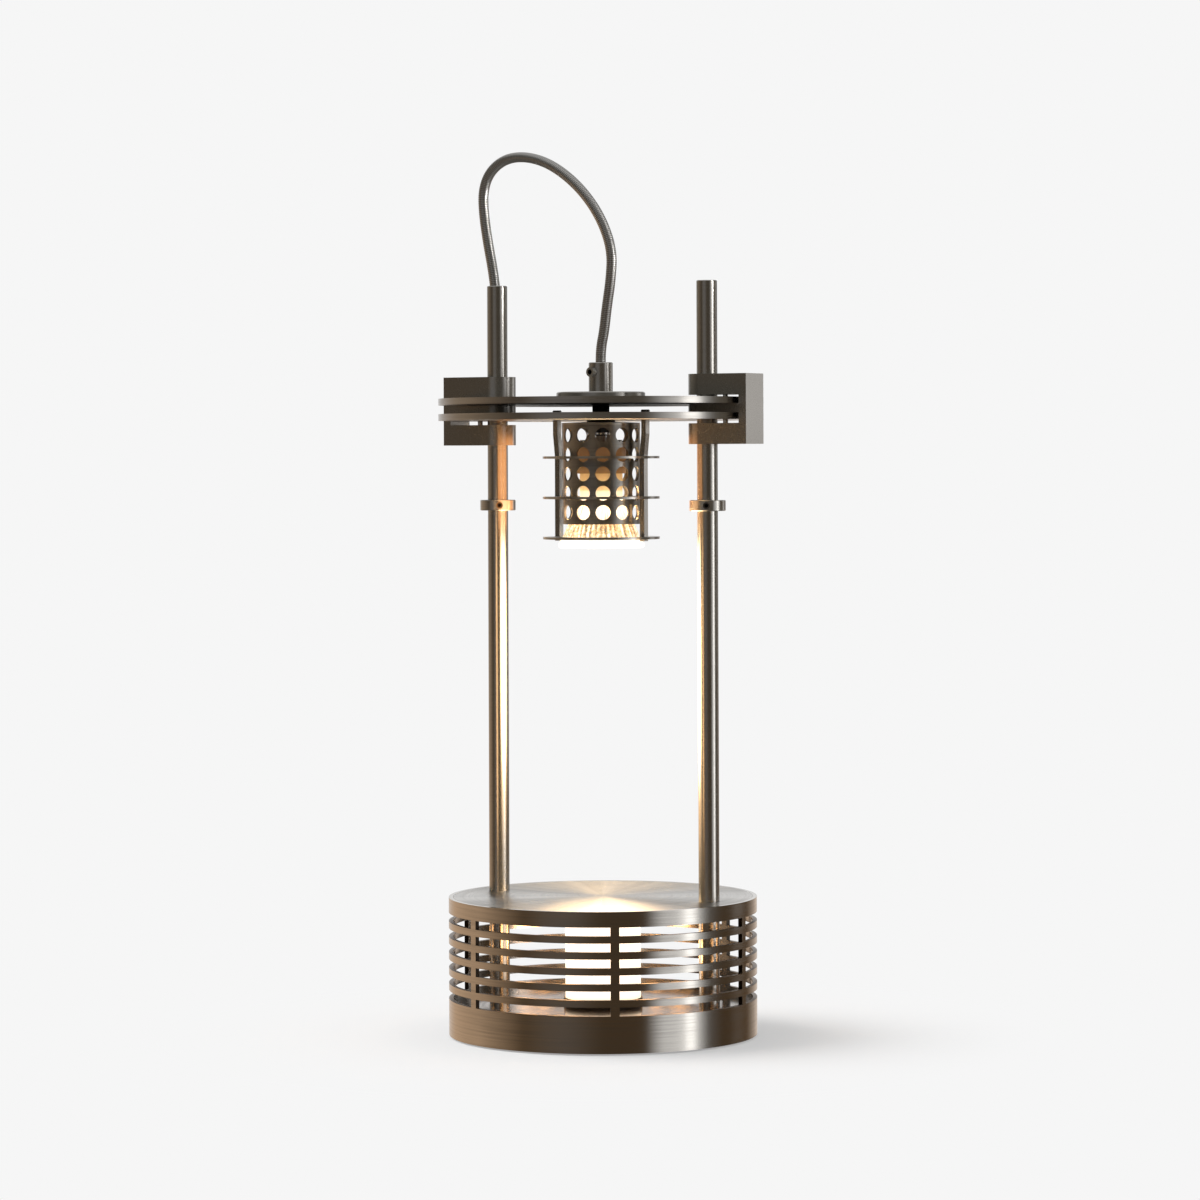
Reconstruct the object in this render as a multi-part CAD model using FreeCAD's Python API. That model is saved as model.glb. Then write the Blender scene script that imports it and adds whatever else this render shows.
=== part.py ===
import FreeCAD, Part
import math
import os

# A lamp that warms from above. A round slotted base carries two upright posts.
# A head slides on the posts: two round plates held in two split blocks, with a
# perforated lamp cage under the middle and a cord loop from the left post.
# Units are millimetres. +Z is up, +X runs from the left post to the right one,
# and the origin is at the middle of the base, on the surface it stands on.

# Clearances
fit = 0.1
run_fit = 0.08
slack = 0.3

# Base
base_d = 180.0
base_h = 81.0
ground_gap = 1.0
wall = 2.5
ledge_w = 2.0
ledge_h = 1.5
top_t = 3.0
floor_t = 3.0
floor_top = 17.5
cover_t = 1.5
cover_recess = 0.5
slot_rows = 6
slot_h = 5.0
slot_above_floor = 4.7
slot_below_ledge = 4.3
rib_count = 6
rib_w = 5.0
rib_phase = 4.0
foot_d = 14.0
foot_count = 4
foot_inset = 13.5
foot_phase = 45.0
standoff_d = 7.0
standoff_count = 3
standoff_inset = 25.5
standoff_phase = 90.0
screw_d = 3.0
cover_head_h = 1.2

# Cord inlet at the back
inlet_bore = 6.4
inlet_body_d = 8.4
inlet_flange_d = 11.0
inlet_flange_t = 1.5
inlet_depth = 8.0
inlet_nut_d = 9.8
inlet_nut_t = 2.5

# Light in the base
diffuser_d = 44.0
diffuser_wall = 2.5
holder_lip = 1.0
holder_h = 4.5
holder_seat = 1.5
holder_shelf = 2.5
board_t = 1.6
led_size = 3.0
led_t = 1.0
led_ring = 9.0
led_count = 6

# Electrics under the floor
driver_l = 62.0
driver_w = 30.0
driver_h = 9.0
terminal_l = 16.0
terminal_w = 10.0
terminal_h = 5.0

# Posts
post_inset = 19.5
post_span = base_d - 2 * post_inset
post_d = 12.0
post_bore = 10.0
post_top = 439.0
post_chamfer = 0.4
stub_d = 10.0
stub_bore = 7.0
stub_plug_h = 12.0
post_nut_af = 17.0
post_nut_t = 5.0
bushing_h = 10.0
bushing_drop = 21.0

# Stop collars
collar_d = 21.0
collar_h = 6.2
collar_drop = 32.3
collar_chamfer = 0.3
left_screw_turn = -54.0
right_screw_turn = -66.0
grub_d = 4.0
grub_socket_af = 2.0
grub_socket_deep = 2.0
grub_inset = 0.6

# Round plates and the blocks that hold them
plate_d = 190.0
plate_t = 3.8
plate_gap = 5.2
plate_low = 358.9
post_hole_gap = 0.5
block_t = 21.6
block_spine = 4.8
block_jaw = 12.0
edge_gap = 1.6
slot_over = 1.3
slot_under = 2.3
clamp_out = 12.0
clamp_head_d = 5.5
clamp_head_h = 3.0
clamp_head_inset = 0.4
clamp_end = 2.0
lock_d = 5.0
lock_socket_af = 2.5
lock_inset = 0.4

# Middle of the head
nipple_d = 10.0
nipple_bore = 6.6
nipple_up = 5.5
nipple_down = 9.0
flange_d = 52.0
flange_t = 3.7
flange_chamfer = 0.6
hub_d = 14.1
hub_h = 17.3
hub_screw_turn = -100.0
hub_screw_drop = 5.7
hub_head_d = 5.5
hub_head_h = 3.0

# Lamp cage
washer_d = 16.5
washer_t = 0.9
cap_rim = 1.2
cap_rise = 0.6
cage_d = 46.0
cage_wall = 1.0
cage_h = 57.9
hole_d = 8.5
hole_columns = 12
hole_rows = 5
hole_above_end = 6.9
hole_below_top = 6.1
hole_phase = 2.3
ring_gap = 3.0
ring_w = 8.2
ring_t = 1.4
ring_count = 3
ring_pitch = 23.5
ring_drop = 68.7
strap_t = 3.0
strap_w = 4.5
strap_inset = 1.0
strap_flare = 1.2
strap_below = 1.1
strap_neck = 8.0
strap_gap = 0.15
cage_screw_d = 2.0
cage_screw_deep = 6.0
cage_head_d = 5.2
cage_head_h = 2.2

# Bulb and its socket
bulb_d = 50.0
lens_t = 2.6
lens_chamfer = 0.8
cup_h = 26.0
cup_wall = 1.4
bulb_base_d = 25.0
bulb_base_h = 25.0
capsule_d = 9.0
capsule_h = 14.0
pin_span = 10.0
pin_d = 4.6
pin_h = 5.0
socket_wall = 1.7
socket_h = 17.2
socket_roof = 6.8
socket_seat = 0.2
inner_nut_af = 14.0
inner_nut_t = 4.5
bracket_d = 16.0
bracket_t = 1.2
bracket_w = 5.0
bracket_drop = 5.5
bracket_foot = 2.6
bracket_screw_d = 2.0
bracket_screw_deep = 4.0

# Cord between the left post and the hub: X and Z of each point of its route
cord_d = 6.0
cord_route = [
    (-70.5, 409.5), (-70.5, 421.0), (-71.3, 434.0), (-73.4, 449.0), (-76.8, 465.0),
    (-79.5, 482.0), (-80.0, 495.5), (-75.8, 506.2), (-66.0, 513.6), (-53.0, 515.4),
    (-37.5, 511.8), (-22.5, 503.0), (-8.5, 490.0), (2.0, 474.5), (8.0, 457.5),
    (7.0, 441.0), (4.2, 425.0), (2.4, 410.8), (0.0, 400.6), (0.0, 392.7)]
arc_share = 0.45

# Worked out from the sizes above
UP = FreeCAD.Vector(0, 0, 1)
BACK = FreeCAD.Vector(0, 1, 0)
SIDES = (("left", -1), ("right", 1))
base_r = base_d / 2
inner_r = base_r - wall
ledge_r = inner_r - ledge_w
top_under = base_h - top_t
floor_under = floor_top - floor_t
slot_low = floor_top + slot_above_floor
slot_pitch = (top_under - ledge_h - slot_below_ledge - slot_h - slot_low) / (slot_rows - 1)
cover_low = ground_gap + cover_recess
cover_top = cover_low + cover_t
terminal_top = cover_top + terminal_h
inlet_z = (cover_top + floor_under - ledge_h) / 2
holder_bore = diffuser_d - 2 * diffuser_wall - 2 * holder_shelf
post_x = post_span / 2
# The loop keeps its first point on the left post's axis.
cord_line = [(-x * post_x / cord_route[0][0], z) for x, z in cord_route]
post_r = post_d / 2
post_foot = terminal_top + slack
plate_r = plate_d / 2
web_low = plate_low + plate_t
web_top = web_low + plate_gap
upper_top = web_top + plate_t
lower_slot = plate_low - slot_under
upper_slot = upper_top + slot_over
block_low = lower_slot - block_jaw
block_top = upper_slot + block_jaw
slot_end = plate_r + edge_gap
block_out = slot_end + block_spine
clamp_x = post_x + clamp_out
lock_z = upper_slot + block_jaw / 2
collar_low = block_low - collar_drop - collar_h
collar_mid = collar_low + collar_h / 2
hub_low = upper_top + flange_t
hub_top = hub_low + hub_h
hub_screw_z = hub_top - hub_screw_drop
cage_top = plate_low - washer_t - cap_rise - cap_rim
cage_low = cage_top - cage_h
hole_pitch = (cage_h - hole_above_end - hole_below_top) / (hole_rows - 1)
ring_bore = cage_d + 2 * ring_gap
ring_d = ring_bore + 2 * ring_w
ring_low = plate_low - ring_drop
strap_in = ring_bore / 2 + strap_inset
strap_top_x = strap_in + strap_flare + strap_t / 2
nut_low = cage_top - inner_nut_t
bracket_low = nut_low - bracket_t
socket_top = bracket_low - bracket_drop
socket_d = bulb_base_d + 2 * (socket_wall + slack)
socket_low = socket_top - socket_h
socket_seat_z = socket_top - socket_roof
bulb_top = socket_seat_z - socket_seat
cup_top = bulb_top - bulb_base_h
cup_low = cup_top - cup_h
bulb_low = cup_low - lens_t
bracket_screw_x = socket_d / 2 - bracket_foot


def save(node, shape):
    # Write one sub-part to its own file.
    shape.exportStep(os.path.join("parts", node + ".step"))
    print(node, "solids", len(shape.Solids), "volume", round(shape.Volume, 1))


def group(shapes):
    return Part.makeCompound(shapes)


def rod(d, low, high, x=0.0, y=0.0):
    # Upright cylinder of diameter d between two heights.
    return Part.makeCylinder(d / 2, high - low, FreeCAD.Vector(x, y, low), UP)


def tube(d, bore, low, high, x=0.0, y=0.0):
    return rod(d, low, high, x, y).cut(rod(bore, low, high, x, y))


def box(x0, x1, y0, y1, z0, z1):
    return Part.makeBox(x1 - x0, y1 - y0, z1 - z0, FreeCAD.Vector(x0, y0, z0))


def heading(turn):
    # Level direction at an angle from +X, in degrees.
    angle = math.radians(turn)
    return FreeCAD.Vector(math.cos(angle), math.sin(angle), 0)


def around(count, circle_r, phase):
    # Centres of equal points round a circle.
    return [heading(phase + i * 360.0 / count) * circle_r for i in range(count)]


def hexagon(af, length, start, direction):
    # Prism with six sides, af across its flats, from start along direction.
    corners = around(6, af / math.sqrt(3), 0.0)
    face = Part.Face(Part.makePolygon(corners + corners[:1]))
    prism = face.extrude(FreeCAD.Vector(0, 0, length))
    prism.Placement = FreeCAD.Placement(start, FreeCAD.Rotation(UP, direction))
    return prism


def bar(outline, width):
    # Prism from (x, z) points, centred on the plane Y = 0.
    loop = [FreeCAD.Vector(x, -width / 2, z) for x, z in outline]
    return Part.Face(Part.makePolygon(loop + loop[:1])).extrude(FreeCAD.Vector(0, width, 0))


def revolved(points):
    # Solid of revolution about Z from (radius, height) points.
    loop = [FreeCAD.Vector(r, 0, z) for r, z in points]
    face = Part.Face(Part.makePolygon(loop + loop[:1]))
    return face.revolve(FreeCAD.Vector(0, 0, 0), UP, 360)


def rims(shape, height, radius):
    # Round edges of one radius that lie level at one height.
    found = []
    for edge in shape.Edges:
        curve = edge.Curve
        if isinstance(curve, Part.Circle) and abs(curve.Radius - radius) < 0.01:
            if abs(curve.Center.z - height) < 0.01:
                found.append(edge)
    return found


def grub(d, socket_af, near, far, turn, x, z):
    # Headless screw that lies level and points out from a post's axis.
    out = heading(turn)
    axis = FreeCAD.Vector(x, 0, z)
    body = Part.makeCylinder(d / 2, far - near, axis + out * near, out)
    socket = hexagon(socket_af, grub_socket_deep, axis + out * (far - grub_socket_deep), out)
    return body.cut(socket)


def bay(row, rib):
    # Cutter for one window of the base wall: a slice of a disc between two ribs.
    half_rib = math.degrees(math.asin(rib_w / 2 / base_r))
    step = 360.0 / rib_count
    corner = FreeCAD.Vector(0, 0, slot_low + row * slot_pitch)
    cutter = Part.makeCylinder(base_d, slot_h, corner, UP, step - 2 * half_rib)
    cutter.rotate(FreeCAD.Vector(0, 0, 0), UP, rib_phase + rib * step + half_rib)
    return cutter


def base_shell():
    shell = tube(base_d, 2 * inner_r, ground_gap, base_h)
    for high in (top_under, floor_under):
        shell = shell.fuse(tube(2 * inner_r + wall, 2 * ledge_r, high - ledge_h, high))
    shell = shell.removeSplitter()
    shell = shell.cut([bay(row, rib) for row in range(slot_rows) for rib in range(rib_count)])
    inside = FreeCAD.Vector(0, ledge_r - wall, inlet_z)
    return shell.cut(Part.makeCylinder(inlet_body_d / 2 + fit, 4 * wall, inside, BACK))


def base_top_plate():
    plate = rod(2 * (inner_r - fit), top_under, base_h)
    return plate.cut([rod(post_d + 2 * fit, top_under, base_h, x) for x in (-post_x, post_x)])


def base_floor():
    plate = rod(2 * (inner_r - fit), floor_under, floor_top)
    return plate.cut([rod(stub_d + 2 * fit, floor_under, floor_top, x) for x in (-post_x, post_x)])


def standoff_spots():
    return around(standoff_count, inner_r - standoff_inset, standoff_phase)


def bottom_cover():
    plate = rod(2 * (inner_r - fit), cover_low, cover_top)
    return plate.cut([rod(screw_d + 2 * fit, cover_low, cover_top, s.x, s.y) for s in standoff_spots()])


def cover_standoffs():
    bore = screw_d + 2 * fit
    return group([tube(standoff_d, bore, cover_top, floor_under, s.x, s.y) for s in standoff_spots()])


def cover_screws():
    screws = []
    head_low = cover_low - cover_head_h
    for s in standoff_spots():
        screw = rod(screw_d, cover_low, floor_under - 1.0, s.x, s.y)
        screw = screw.fuse(rod(2 * screw_d, head_low, cover_low, s.x, s.y))
        screws.append(screw.cut(hexagon(screw_d / 2, 0.8, FreeCAD.Vector(s.x, s.y, head_low), UP)))
    return group(screws)


def rubber_feet():
    spots = around(foot_count, inner_r - foot_inset, foot_phase)
    return group([rod(foot_d, 0.0, cover_low, s.x, s.y) for s in spots])


def cord_inlet():
    start = FreeCAD.Vector(0, base_r - inlet_depth, inlet_z)
    face = FreeCAD.Vector(0, base_r, inlet_z)
    nut_start = FreeCAD.Vector(0, inner_r - inlet_nut_t - fit, inlet_z)
    body = Part.makeCylinder(inlet_body_d / 2, inlet_depth, start, BACK)
    body = body.fuse(Part.makeCylinder(inlet_flange_d / 2, inlet_flange_t, face, BACK))
    body = body.fuse(Part.makeCylinder(inlet_nut_d / 2, inlet_nut_t, nut_start, BACK))
    return body.cut(Part.makeCylinder(inlet_bore / 2, inlet_depth + inlet_flange_t, start, BACK))


def diffuser_holder():
    high = floor_top + holder_h
    ring = tube(diffuser_d + 2 * holder_lip, holder_bore, floor_top, high)
    return ring.cut(rod(diffuser_d + 2 * fit, floor_top + holder_seat, high))


def base_diffuser():
    low = floor_top + holder_seat
    return tube(diffuser_d, diffuser_d - 2 * diffuser_wall, low, top_under - slack)


def base_leds():
    low = floor_top + board_t
    half = led_size / 2
    chips = []
    for s in [FreeCAD.Vector(0, 0, 0)] + around(led_count, led_ring, 0.0):
        chips.append(box(s.x - half, s.x + half, s.y - half, s.y + half, low, low + led_t))
    return group(chips)


def on_cover(x, length, width, height):
    # Box that stands on the bottom cover.
    return box(x - length / 2, x + length / 2, -width / 2, width / 2, cover_top, cover_top + height)


def post(side):
    # Post on a thinner stub that goes through the floor. The left one is a tube.
    x = side * post_x
    body = rod(post_d, floor_top, post_top, x)
    body = body.makeChamfer(post_chamfer, rims(body, post_top, post_r))
    body = body.fuse(rod(stub_d, post_foot, floor_top, x))
    if side < 0:
        body = body.cut(rod(post_bore, floor_top + stub_plug_h, post_top, x))
        body = body.cut(rod(stub_bore, post_foot, post_top, x))
    return body


def post_nuts():
    nuts = []
    low = floor_under - post_nut_t
    for x in (-post_x, post_x):
        nut = hexagon(post_nut_af, post_nut_t, FreeCAD.Vector(x, 0, low), UP)
        nuts.append(nut.cut(rod(stub_d + 2 * fit, low, floor_under, x)))
    return group(nuts)


def post_bushing():
    high = post_top - bushing_drop
    return tube(post_bore - 2 * fit, cord_d + 2 * fit, high - bushing_h, high, -post_x)


def collar(x, turn):
    ring = tube(collar_d, post_d + 2 * run_fit, collar_low, collar_low + collar_h, x)
    edges = rims(ring, collar_low, collar_d / 2) + rims(ring, collar_low + collar_h, collar_d / 2)
    ring = ring.makeChamfer(collar_chamfer, edges)
    middle = FreeCAD.Vector(x, 0, collar_mid)
    return ring.cut(Part.makeCylinder(grub_d / 2 + fit / 2, collar_d, middle, heading(turn)))


def block(side):
    # Split block on one post: a flat outer end, a round end about the post,
    # and two level slots that hold the rims of the round plates.
    half_t = block_t / 2
    x = side * post_x
    low_x, high_x = sorted((x, side * block_out))
    body = box(low_x, high_x, -half_t, half_t, block_low, block_top)
    body = body.fuse(rod(block_t, block_low, block_top, x)).removeSplitter()
    slot_x = sorted((side * (post_x - block_t), side * slot_end))
    for low, high in ((lower_slot, web_low), (web_top, upper_slot)):
        body = body.cut(box(slot_x[0], slot_x[1], -block_t, block_t, low, high))
    head_room = clamp_head_inset + clamp_head_h
    body = body.cut(rod(post_d + 2 * run_fit, block_low, block_top, x))
    body = body.cut(rod(screw_d + 2 * fit, block_low, block_top - clamp_end, side * clamp_x))
    body = body.cut(rod(clamp_head_d + 2 * fit, block_low, block_low + head_room, side * clamp_x))
    return body.cut(Part.makeCylinder(lock_d / 2 + fit / 2, block_t, FreeCAD.Vector(x, 0, lock_z), BACK))


def clamp_screw(side):
    x = side * clamp_x
    head_low = block_low + clamp_head_inset
    head_top = head_low + clamp_head_h
    screw = rod(clamp_head_d, head_low, head_top, x)
    screw = screw.fuse(rod(screw_d, head_top, block_top - clamp_end - fit, x))
    return screw.cut(hexagon(grub_socket_af, grub_socket_deep, FreeCAD.Vector(x, 0, head_low), UP))


def round_plate(low):
    plate = rod(plate_d, low, low + plate_t)
    cuts = [rod(nipple_d + 2 * fit, low, low + plate_t)]
    for side in (-1, 1):
        cuts.append(rod(post_d + 2 * post_hole_gap, low, low + plate_t, side * post_x))
        cuts.append(rod(screw_d + 2 * fit, low, low + plate_t, side * clamp_x))
    return plate.cut(cuts)


def lower_plate():
    plate = round_plate(plate_low)
    return plate.cut([rod(cage_screw_d + 2 * fit, plate_low, web_low, side * strap_top_x) for side in (-1, 1)])


def hub_flange():
    flange = tube(flange_d, nipple_d + 2 * fit, upper_top, hub_low)
    return flange.makeChamfer(flange_chamfer, rims(flange, hub_low, flange_d / 2))


def cord_hub():
    hub = tube(hub_d, cord_d + 2 * fit, hub_low, hub_top)
    hub = hub.makeChamfer(post_chamfer, rims(hub, hub_top, hub_d / 2))
    hub = hub.cut(rod(nipple_d + 2 * fit, hub_low, hub_low + nipple_up + fit))
    middle = FreeCAD.Vector(0, 0, hub_screw_z)
    return hub.cut(Part.makeCylinder(screw_d / 2 + fit / 2, hub_d, middle, heading(hub_screw_turn)))


def hub_screw():
    middle = FreeCAD.Vector(0, 0, hub_screw_z)
    out = heading(hub_screw_turn)
    near = cord_d / 2 + fit
    seat = hub_d / 2
    screw = Part.makeCylinder(screw_d / 2, seat - near, middle + out * near, out)
    screw = screw.fuse(Part.makeCylinder(hub_head_d / 2, hub_head_h, middle + out * seat, out))
    socket_start = middle + out * (seat + hub_head_h - grub_socket_deep)
    return screw.cut(hexagon(lock_socket_af, grub_socket_deep, socket_start, out))


def cage_cap():
    inner = nipple_d / 2 + fit
    rim_top = cage_top + cap_rim
    crown = rim_top + cap_rise
    return revolved([(inner, cage_top), (cage_d / 2, cage_top), (cage_d / 2, rim_top),
                     (washer_d / 2, crown), (inner, crown)])


def cage_tube():
    shade = tube(cage_d, cage_d - 2 * cage_wall, cage_low, cage_top)
    holes = []
    for row in range(hole_rows):
        middle = FreeCAD.Vector(0, 0, cage_low + hole_above_end + row * hole_pitch)
        for column in range(hole_columns):
            out = heading(hole_phase + column * 360.0 / hole_columns)
            holes.append(Part.makeCylinder(hole_d / 2, cage_d, middle, out))
    return shade.cut(holes)


def cage_ring(index):
    low = ring_low + index * ring_pitch - ring_t / 2
    ring = tube(ring_d, ring_bore, low, low + ring_t)
    half_w = strap_w / 2 + strap_gap
    for side in (-1, 1):
        near = side * (strap_in - strap_gap)
        far = side * (strap_in + strap_t + strap_gap)
        ring = ring.cut(box(min(near, far), max(near, far), -half_w, half_w, low, low + ring_t))
    return ring


def strap(side):
    # Flat bar that carries the rings. It leans out above the top ring, and its
    # upright neck takes the screw that hangs it from the lower plate.
    foot = ring_low - ring_t / 2 - strap_below
    bend = ring_low + (ring_count - 1) * ring_pitch + ring_t / 2 + strap_gap
    neck = plate_low - strap_neck
    inner = strap_in + strap_flare
    outline = [(strap_in, foot), (strap_in + strap_t, foot), (strap_in + strap_t, bend),
               (inner + strap_t, neck), (inner + strap_t, plate_low), (inner, plate_low),
               (inner, neck), (strap_in, bend)]
    body = bar([(side * x, z) for x, z in outline], strap_w)
    deep = cage_screw_deep + fit
    return body.cut(rod(cage_screw_d + 2 * fit, plate_low - deep, plate_low, side * strap_top_x))


def cage_screws():
    screws = []
    for side in (-1, 1):
        x = side * strap_top_x
        head = rod(cage_head_d, web_low, web_low + cage_head_h, x)
        head = head.makeChamfer(fit * 4, rims(head, web_low + cage_head_h, cage_head_d / 2))
        screw = head.fuse(rod(cage_screw_d, plate_low - cage_screw_deep, web_low, x))
        top = FreeCAD.Vector(x, 0, web_low + cage_head_h / 2)
        screws.append(screw.cut(hexagon(cage_screw_d, cage_head_h, top, UP)))
    return group(screws)


def inner_nut():
    nut = hexagon(inner_nut_af, inner_nut_t, FreeCAD.Vector(0, 0, nut_low), UP)
    return nut.cut(rod(nipple_d + 2 * fit, nut_low, cage_top))


def socket_bracket():
    # Disc under the nut with two legs that slope out to feet on the socket.
    foot_in = bracket_screw_x - bracket_screw_d - bracket_t - slack
    foot_out = bracket_screw_x + bracket_foot / 2
    foot_top = socket_top + bracket_t
    neck = bracket_d / 2 - bracket_foot
    plate = rod(bracket_d, bracket_low, nut_low)
    for side in (-1, 1):
        outline = [(0, nut_low), (neck + bracket_t, nut_low), (foot_in + bracket_t, foot_top),
                   (foot_out, foot_top), (foot_out, socket_top), (foot_in, socket_top),
                   (neck, bracket_low), (0, bracket_low)]
        plate = plate.fuse(bar([(side * x, z) for x, z in outline], bracket_w))
    plate = plate.removeSplitter().cut(rod(nipple_d + 2 * fit, bracket_low, nut_low))
    hole = bracket_screw_d + 2 * fit
    return plate.cut([rod(hole, socket_top, foot_top, side * bracket_screw_x) for side in (-1, 1)])


def bracket_screws():
    screws = []
    foot_top = socket_top + bracket_t
    for side in (-1, 1):
        x = side * bracket_screw_x
        screw = rod(bracket_screw_d, socket_top - bracket_screw_deep, foot_top, x)
        screws.append(screw.fuse(rod(2 * bracket_screw_d, foot_top, foot_top + bracket_t, x)))
    return group(screws)


def lamp_socket():
    socket = rod(socket_d, socket_low, socket_top)
    socket = socket.cut(rod(bulb_base_d + 2 * slack, socket_low, socket_seat_z))
    pin_room = bulb_top + pin_h + slack
    for side in (-1, 1):
        socket = socket.cut(rod(pin_d + 2 * slack, socket_seat_z, pin_room, side * pin_span / 2))
        deep = bracket_screw_deep + fit
        x = side * bracket_screw_x
        socket = socket.cut(rod(bracket_screw_d + 2 * fit, socket_top - deep, socket_top, x))
    return socket


def bulb_pins():
    return group([rod(pin_d, bulb_top, bulb_top + pin_h, side * pin_span / 2) for side in (-1, 1)])


def bulb_reflector():
    # Flared glass cup, open below, that narrows to the bulb's base.
    flare = (bulb_d - bulb_base_d) / 2
    outside = []
    for lift, share in ((0.0, 1.0), (0.15, 0.81), (0.43, 0.55), (0.73, 0.22), (1.0, 0.0)):
        outside.append((bulb_base_d / 2 + flare * share, cup_low + lift * cup_h))
    inside = [(r - cup_wall, z) for r, z in outside]
    return revolved(outside + inside[::-1])


def bulb_lens():
    lens = rod(bulb_d, bulb_low, cup_low)
    return lens.makeChamfer(lens_chamfer, rims(lens, bulb_low, bulb_d / 2))


def lamp_cord():
    # Straight runs joined by arcs, each arc as large as its two runs allow.
    spots = [FreeCAD.Vector(x, 0, z) for x, z in cord_line]
    edges = []
    radii = []
    start = spots[0]
    for i in range(1, len(spots) - 1):
        before = spots[i] - spots[i - 1]
        after = spots[i + 1] - spots[i]
        half_turn = before.getAngle(after) / 2
        back = arc_share * min(before.Length, after.Length)
        radius = back / math.tan(half_turn)
        radii.append(round(radius, 1))
        before.normalize()
        after.normalize()
        arc_in = spots[i] - before * back
        arc_out = spots[i] + after * back
        inward = after - before
        inward.normalize()
        middle = spots[i] + inward * (radius / math.cos(half_turn) - radius)
        edges.append(Part.LineSegment(start, arc_in).toShape())
        edges.append(Part.Arc(arc_in, middle, arc_out).toShape())
        start = arc_out
    edges.append(Part.LineSegment(start, spots[-1]).toShape())
    path = Part.Wire(edges)
    print("cord arcs", radii, "length", round(path.Length, 1))
    section = Part.Wire([Part.Circle(spots[0], spots[1] - spots[0], cord_d / 2).toShape()])
    cord = path.makePipeShell([section], True, False)
    wanted = math.pi * cord_d ** 2 / 4 * path.Length
    print("cord volume", round(cord.Volume), "section times length", round(wanted))
    return cord


os.makedirs("parts", exist_ok=True)

save("base_shell", base_shell())
save("base_top_plate", base_top_plate())
save("base_floor", base_floor())
save("bottom_cover", bottom_cover())
save("cover_standoffs", cover_standoffs())
save("cover_screws", cover_screws())
save("rubber_feet", rubber_feet())
save("cord_inlet", cord_inlet())
save("diffuser_holder", diffuser_holder())
save("base_diffuser", base_diffuser())
save("led_board", rod(holder_bore - 2 * fit, floor_top, floor_top + board_t))
save("base_leds", base_leds())
save("led_driver", on_cover(0.0, driver_l, driver_w, driver_h))
save("terminal_block", on_cover(-post_x, terminal_l, terminal_w, terminal_h))
save("post_nuts", post_nuts())
save("post_bushing", post_bushing())
save("lead_in_post", rod(cord_d, terminal_top, cord_line[0][1], -post_x))
save("lamp_cord", lamp_cord())

for name, side in SIDES:
    turn = left_screw_turn if side < 0 else right_screw_turn
    x = side * post_x
    save(name + "_post", post(side))
    save(name + "_collar", collar(x, turn))
    far = collar_d / 2 - grub_inset
    save(name + "_collar_screw", grub(grub_d, grub_socket_af, post_r + run_fit, far, turn, x, collar_mid))
    save(name + "_block", block(side))
    save(name + "_clamp_screw", clamp_screw(side))
    far = block_t / 2 - lock_inset
    save(name + "_lock_screw", grub(lock_d, lock_socket_af, post_r + run_fit, far, 90.0, x, lock_z))
    save(name + "_strap", strap(side))

save("lower_plate", lower_plate())
save("upper_plate", round_plate(web_top))
save("threaded_nipple", tube(nipple_d, nipple_bore, plate_low - nipple_down, hub_low + nipple_up))
save("hub_flange", hub_flange())
save("cord_hub", cord_hub())
save("hub_screw", hub_screw())
save("lead_in_head", rod(cord_d, socket_top, hub_top))
save("cage_washer", tube(washer_d, nipple_d + 2 * fit, plate_low - washer_t, plate_low))
save("cage_cap", cage_cap())
save("cage_tube", cage_tube())

for index, name in enumerate(("lower", "middle", "upper")):
    save("cage_ring_" + name, cage_ring(index))

save("cage_screws", cage_screws())
save("inner_nut", inner_nut())
save("socket_bracket", socket_bracket())
save("bracket_screws", bracket_screws())
save("lamp_socket", lamp_socket())
save("bulb_pins", bulb_pins())
save("bulb_base", rod(bulb_base_d, cup_top, bulb_top))
save("bulb_capsule", rod(capsule_d, cup_top - capsule_h, cup_top))
save("bulb_reflector", bulb_reflector())
save("bulb_lens", bulb_lens())
print("bulb lowest", round(bulb_low, 2), "cage lowest", round(cage_low, 2), "block", block_low, block_top)
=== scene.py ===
import math

import bmesh
import bpy
import numpy as np
from mathutils import Matrix, Vector


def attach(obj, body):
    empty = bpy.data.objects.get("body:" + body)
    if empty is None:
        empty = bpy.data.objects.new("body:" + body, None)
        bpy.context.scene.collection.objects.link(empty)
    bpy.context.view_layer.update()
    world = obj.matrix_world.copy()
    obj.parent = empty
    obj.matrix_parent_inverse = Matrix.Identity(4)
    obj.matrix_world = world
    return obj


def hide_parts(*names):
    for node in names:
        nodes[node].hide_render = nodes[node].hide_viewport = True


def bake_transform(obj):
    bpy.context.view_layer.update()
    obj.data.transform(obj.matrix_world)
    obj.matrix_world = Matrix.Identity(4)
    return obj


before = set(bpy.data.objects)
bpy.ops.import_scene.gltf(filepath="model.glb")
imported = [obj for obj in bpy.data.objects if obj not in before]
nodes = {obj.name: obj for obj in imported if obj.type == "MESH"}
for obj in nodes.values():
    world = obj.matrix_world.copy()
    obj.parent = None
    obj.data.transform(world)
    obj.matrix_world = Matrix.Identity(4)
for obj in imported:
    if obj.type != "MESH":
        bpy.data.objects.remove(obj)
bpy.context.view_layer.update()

scene = bpy.context.scene
scene.view_settings.view_transform = "Standard"

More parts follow.
